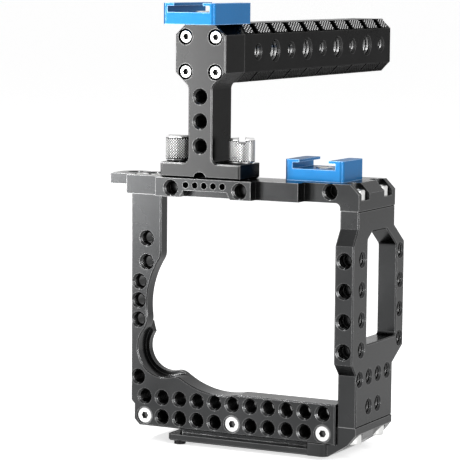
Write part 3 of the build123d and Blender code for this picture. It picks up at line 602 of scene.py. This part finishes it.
# --- Screws: nickel-plated steel, with painted shade in each hexagon socket. Countersunk ones hold
# the front plate to the base; the others have a round head that sits in a counterbore. The camera
# screw and its clip are plated too, and the stop pin under the base is blackened steel.
SUNK_HEAD_R, SUNK_HEAD_H = 0.0032, 0.0022
M4_HEAD_R, M4_HEAD_H, M4_SHANK_R = 0.0035, 0.004, 0.002
COLUMN_HEAD_R, GRIP_HEAD_R, M3_HEAD_H, M3_SHANK_R = 0.00275, 0.0026, 0.003, 0.0015
SHOE_HEAD_H = 0.0026
SCREW_FLATS = 36
# Where each head seats, in mm as drawn, and how long the shank below it is, in metres.
SUNK_SCREWS = (("left", 0), ("middle", 5), ("right", 10))   # columns of the grid
SUNK_LENGTH = 0.0185
SIDE_SCREWS = (("front", 8.2), ("rear", 30.9))
SIDE_BASE_SEAT_Z, SIDE_BASE_LENGTH = 10.6, 0.014
SIDE_TOP_SEAT_Z, SIDE_TOP_LENGTH = 105.7, 0.0107
COLUMN_SCREWS = (("left", -3.0), ("right", 3.8))
COLUMN_SEAT_Y, COLUMN_SEAT_Z, COLUMN_LENGTH = 3.0, 109.2, 0.0157
GRIP_SCREW_X, GRIP_SCREW_Z = 6.76, 7.03     # off the head's middle
HEAD_MIDDLE_Z = 162.6
GRIP_SCREW_SEAT = 3.2                       # below the head's front face
GRIP_SCREW_LENGTH = 0.022
SHOE_SCREWS = (
    ("cage_shoe_screw", (73.0, 18.1, 112.2 + 2.6), "cage"),
    ("handle_shoe_screw", (HANDLE_X, -5.6, 174.75 + 2.6), "handle"),
)
SHOE_SCREW_LENGTH = 0.0081


def make_plated(name, dull, bright):
    """Plated steel with a faint drift of tone and small handling marks."""
    finish = bpy.data.materials.new(name)
    finish.use_nodes = True
    nodes, links = finish.node_tree.nodes, finish.node_tree.links
    shader = nodes["Principled BSDF"]
    shader.inputs["Metallic"].default_value = 1.0
    blast = nodes.new("ShaderNodeGroup")
    blast.node_tree = bead_blast
    blast.inputs["Grain"].default_value = 1500.0
    blast.inputs["Drift"].default_value = 400.0
    colour = nodes.new("ShaderNodeMix")
    colour.data_type = "RGBA"
    colour.inputs["A"].default_value = (*dull, 1)
    colour.inputs["B"].default_value = (*bright, 1)
    roughness = nodes.new("ShaderNodeMapRange")
    roughness.inputs["To Min"].default_value = 0.18
    roughness.inputs["To Max"].default_value = 0.42
    marks = nodes.new("ShaderNodeBump")
    marks.inputs["Strength"].default_value = 0.4
    marks.inputs["Distance"].default_value = 0.00002
    links.new(blast.outputs["Tone"], colour.inputs["Factor"])
    links.new(colour.outputs["Result"], shader.inputs["Base Color"])
    links.new(blast.outputs["Tone"], roughness.inputs["Value"])
    links.new(roughness.outputs["Result"], shader.inputs["Roughness"])
    links.new(blast.outputs["Height"], marks.inputs["Height"])
    links.new(marks.outputs["Normal"], shader.inputs["Normal"])
    return finish


nickel = make_plated("nickel", dull=(0.48, 0.48, 0.475), bright=(0.72, 0.72, 0.71))
for node in ("camera_screw", "camera_screw_clip"):
    give_finish(node, nickel)
pin_black = anodised("pin_black", dyed=grey(0.012), dyed_light=grey(0.020), bare_and_highlight=grey(0.10),
                     rough=0.35, rim=0.4)
give_finish("base_stop_pin", pin_black)
# Painted shade for the screws' sockets and the rims of the countersunk heads.
screw_painted_shade = anodised("screw_painted_shade", dyed=grey(0.020), dyed_light=grey(0.060), bare_and_highlight=grey(0.30),
                       rough=0.35, rim=0.4)


def stand(point, towards):
    """Places a piece drawn upright: its +Z turns to face away from where the screw goes."""
    towards = Vector(towards)
    side = across(towards)
    up = -towards
    turn = Matrix((side, up.cross(side), up)).transposed().to_4x4()
    return Matrix.Translation(point) @ turn


def hexagon_socket(mesh, face, size, deep):
    """Sinks a hexagon socket into the round face on top of a head; its faces take the painted
    shade.
    """
    centre = face.calc_center_median()
    bmesh.ops.inset_region(mesh, faces=[face], thickness=0.0)
    for corner in face.verts:
        offset = corner.co - centre
        angle = atan2(offset.y, offset.x)
        from_flat = (angle + pi / 6) % (pi / 3) - pi / 6
        corner.co = centre + offset.normalized() * size / cos(from_flat)
    floor = bmesh.ops.extrude_face_region(mesh, geom=[face])["geom"]
    sunk = [item for item in floor if isinstance(item, bmesh.types.BMVert)]
    bmesh.ops.translate(mesh, verts=sunk, vec=(0, 0, -deep))
    bmesh.ops.delete(mesh, geom=[face], context="FACES_ONLY")
    # The socket's faces get the second finish, painted shade.
    for corner in sunk:
        for wall in corner.link_faces:
            wall.material_index = 1


def spin_outline(mesh, outline, steps):
    """An outline of (radius, height) points spun about Z into a tube, open at both ends."""
    rings = [mesh.verts.new((radius, 0, height)) for radius, height in outline]
    lines = [mesh.edges.new(pair) for pair in zip(rings, rings[1:])]
    bmesh.ops.spin(mesh, geom=rings + lines, cent=(0, 0, 0), axis=(0, 0, 1), angle=2 * pi,
                   steps=steps, use_merge=True)
    bmesh.ops.remove_doubles(mesh, verts=mesh.verts, dist=1e-7)


def turned(mesh, outline):
    """A round piece, closed at both ends. Gives its upper end."""
    spin_outline(mesh, outline, SCREW_FLATS)
    ends = [edge for edge in mesh.edges if edge.is_boundary]
    caps = bmesh.ops.holes_fill(mesh, edges=ends, sides=0)["faces"]
    return max(caps, key=lambda cap: cap.calc_center_median().z)


def finish_screw(node, mesh, point, towards, body):
    """Stands a screw in its hole, in place of the plain one."""
    bmesh.ops.transform(mesh, verts=mesh.verts, matrix=stand(point, towards))
    screw = finish_piece(node + "_turned", mesh, body, "silver_screw", nickel, screw_painted_shade)
    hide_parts(node)


def round_head_screw(node, point, towards, head_r, head_h, shank_r, length, body):
    """A socket head screw: turned head with a rolled edge, hexagon socket and plain shank."""
    mesh = bmesh.new()
    top = turned(mesh, [
        (shank_r, -length),
        (shank_r, 0),
        (head_r, 0),
        (head_r, head_h * 0.86),
        (head_r * 0.96, head_h * 0.95),
        (head_r * 0.87, head_h),
        (head_r * 0.62, head_h),
        (head_r * 0.56, head_h * 0.96),
    ])
    hexagon_socket(mesh, top, size=head_r * 0.46, deep=head_h * 0.5)
    finish_screw(node, mesh, point, towards, body)


def sunk_head_screw(node, point, towards, head_r, head_h, shank_r, length, body):
    """A countersunk screw: flat head whose rim is painted dark as shade, hexagon socket and plain
    shank.
    """
    mesh = bmesh.new()
    top = turned(mesh, [
        (shank_r, -length),
        (shank_r, -head_h),
        (head_r, -0.0004),
        (head_r * 0.92, -0.0004),
        (head_r * 0.91, -0.0002),
        (head_r * 0.60, -0.0002),
        (head_r * 0.54, -0.0003),
    ])
    # Painted shade on the head's rim, where the gap round the head is dark.
    for face in mesh.faces:
        if face.calc_center_median().xy.length > head_r * 0.93:
            face.material_index = 1
    hexagon_socket(mesh, top, size=head_r * 0.44, deep=0.0012)
    finish_screw(node, mesh, point, towards, body)


for place, column in SUNK_SCREWS:
    sunk_head_screw("front_plate_screw_" + place, drawn(GRID_PITCH * column, 0, GRID_Z), (0, 1, 0),
                    SUNK_HEAD_R, SUNK_HEAD_H, M4_SHANK_R, SUNK_LENGTH, "cage")
for place, y in SIDE_SCREWS:
    round_head_screw("side_base_screw_" + place, drawn(LEG_X, y, SIDE_BASE_SEAT_Z), (0, 0, 1),
                     M4_HEAD_R, M4_HEAD_H, M4_SHANK_R, SIDE_BASE_LENGTH, "cage")
    round_head_screw("side_top_screw_" + place, drawn(LEG_X, y, SIDE_TOP_SEAT_Z), (0, 0, -1),
                     M4_HEAD_R, M4_HEAD_H, M4_SHANK_R, SIDE_TOP_LENGTH, "cage")
for place, x in COLUMN_SCREWS:
    round_head_screw("column_screw_" + place, drawn(x, COLUMN_SEAT_Y, COLUMN_SEAT_Z), (0, 0, -1),
                     COLUMN_HEAD_R, M3_HEAD_H, M3_SHANK_R, COLUMN_LENGTH, "cage")
for level_name, level in (("lower", -1), ("upper", 1)):
    for side_name, side in (("left", -1), ("right", 1)):
        seat = drawn(HANDLE_X + side * GRIP_SCREW_X, RAIL_Y + GRIP_SCREW_SEAT,
                     HEAD_MIDDLE_Z + level * GRIP_SCREW_Z)
        round_head_screw(f"grip_screw_{level_name}_{side_name}", seat, (0, 1, 0),
                         GRIP_HEAD_R, M3_HEAD_H, M3_SHANK_R, GRIP_SCREW_LENGTH, "handle")
for node, seat, body in SHOE_SCREWS:
    round_head_screw(node, drawn(*seat), (0, 0, -1),
                     M4_HEAD_R, SHOE_HEAD_H, M4_SHANK_R, SHOE_SCREW_LENGTH, body)


# --- Thumbscrews: stainless steel with a diamond knurl rolled round the head and a wide slot sawn
# for a coin. Each screws down through the foot of the handle into the top plate.
THUMB_Y, FOOT_TOP_Z = 0.29, 118.6           # mm, where the head seats
THUMB_R, THUMB_LOW, THUMB_HIGH = 0.00522, 0.0009, 0.0096    # of the knurled band
THUMB_ROWS, THUMB_COLUMNS, THUMB_TALL = 8, 30, 0.00024
THUMB_UPPER_EDGE = ((0.0052, 0.0098), (0.0050, 0.0102), (0.0047, 0.0104))
THUMB_LOWER_EDGE = ((0.0052, 0.0007), (0.0050, 0.0003), (0.0047, 0.0))
THUMB_SLOT = (0.0026, 0.02, 0.0038)         # its width, its length and twice its depth
THUMB_SHANK_R, THUMB_SHANK_END_R, THUMB_SHANK_LENGTH = 0.0031, 0.0029, 0.0128
THUMB_SHANK_Z = -0.0063


def make_thumb_steel():
    """Bright stainless steel, with painted shade darkening the valleys of the knurl nearly to
    black.
    """
    finish = make_plated("thumb_steel", dull=(0.78, 0.78, 0.78), bright=(0.90, 0.90, 0.89))
    nodes, links = finish.node_tree.nodes, finish.node_tree.links
    shader = nodes["Principled BSDF"]
    point = nodes.new("ShaderNodeAttribute")
    point.attribute_name = "point"
    painted_valley_shade = nodes.new("ShaderNodeMapRange")
    painted_valley_shade.inputs["From Min"].default_value = 0.16
    painted_valley_shade.inputs["From Max"].default_value = 0.40
    # Painted shade: the knurl's valleys take a near-black colour.
    valley_shade_mix = nodes.new("ShaderNodeMix")
    valley_shade_mix.data_type = "RGBA"
    valley_shade_mix.inputs["A"].default_value = (0.02, 0.02, 0.02, 1)
    below = shader.inputs["Base Color"].links[0].from_socket
    links.new(point.outputs["Fac"], painted_valley_shade.inputs["Value"])
    links.new(painted_valley_shade.outputs["Result"], valley_shade_mix.inputs["Factor"])
    links.new(below, valley_shade_mix.inputs["B"])
    links.new(valley_shade_mix.outputs["Result"], shader.inputs["Base Color"])
    return finish


thumb_steel = make_thumb_steel()


def roll_edge(mesh, points, edges, outline):
    """Closes the end of a knurled band with rings that follow an outline of (radius, height)."""
    for radius, height in outline:
        made = bmesh.ops.extrude_edge_only(mesh, edges=edges)["geom"]
        edges = [item for item in made if isinstance(item, bmesh.types.BMEdge)]
        for vert in [item for item in made if isinstance(item, bmesh.types.BMVert)]:
            flat = Vector((vert.co.x, vert.co.y, 0)).normalized() * radius
            vert.co = Vector((flat.x, flat.y, height))
            vert[points] = 1.0
    bmesh.ops.holes_fill(mesh, edges=edges, sides=0)


def saw_slot(knob, centre, angle):
    """Saws the coin slot across the top of the head."""
    blade_mesh = bmesh.new()
    bmesh.ops.create_cube(blade_mesh, size=1.0)
    bmesh.ops.scale(blade_mesh, verts=blade_mesh.verts, vec=THUMB_SLOT)
    top = centre + Vector((0, 0, THUMB_UPPER_EDGE[-1][1]))
    turn = Matrix.Translation(top) @ Matrix.Rotation(angle, 4, "Z")
    bmesh.ops.transform(blade_mesh, verts=blade_mesh.verts, matrix=turn)
    blade = bpy.data.objects.new("blade", bpy.data.meshes.new("blade"))
    blade_mesh.to_mesh(blade.data)
    blade_mesh.free()
    bpy.context.scene.collection.objects.link(blade)
    saw = knob.modifiers.new("slot", "BOOLEAN")
    saw.operation = "DIFFERENCE"
    saw.object = blade
    saw.solver = "EXACT"
    bpy.context.view_layer.update()
    sawn = knob.evaluated_get(bpy.context.evaluated_depsgraph_get())
    cut = bpy.data.meshes.new_from_object(sawn)
    knob.modifiers.clear()
    knob.data = cut
    bpy.data.objects.remove(blade)


def thumbscrew(node, x, slot_angle, body):
    """A knurled head made of small diamonds, its slot, and the plain shank below."""
    centre = drawn(x, THUMB_Y, FOOT_TOP_Z)
    mesh = bmesh.new()
    tips = mesh.verts.layers.float.new("point")
    row = (THUMB_HIGH - THUMB_LOW) / THUMB_ROWS
    band = [(THUMB_R, THUMB_LOW + row * step) for step in range(THUMB_ROWS + 1)]
    spin_outline(mesh, band, THUMB_COLUMNS)
    bmesh.ops.recalc_face_normals(mesh, faces=mesh.faces)
    raise_points(mesh, tips, mesh.faces[:], THUMB_TALL)
    rim = [edge for edge in mesh.edges if edge.is_boundary]
    middle = (THUMB_LOW + THUMB_HIGH) / 2
    upper = [edge for edge in rim if edge.verts[0].co.z > middle]
    lower = [edge for edge in rim if edge.verts[0].co.z < middle]
    roll_edge(mesh, tips, upper, THUMB_UPPER_EDGE)
    roll_edge(mesh, tips, lower, THUMB_LOWER_EDGE)
    bmesh.ops.recalc_face_normals(mesh, faces=mesh.faces)
    shank = bmesh.ops.create_cone(mesh, cap_ends=True, segments=24, radius1=THUMB_SHANK_END_R,
                                  radius2=THUMB_SHANK_R, depth=THUMB_SHANK_LENGTH)["verts"]
    bmesh.ops.translate(mesh, verts=shank, vec=(0, 0, THUMB_SHANK_Z))
    bmesh.ops.transform(mesh, verts=mesh.verts, matrix=Matrix.Translation(centre))
    knob = finish_piece(node + "_knurled", mesh, body, "silver_thumbscrew", thumb_steel)
    saw_slot(knob, centre, slot_angle)
    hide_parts(node)


thumbscrew("thumbscrew_left", 15.3, radians(100), "thumbscrew_left")
thumbscrew("thumbscrew_right", 44.5, radians(27), "thumbscrew_right")
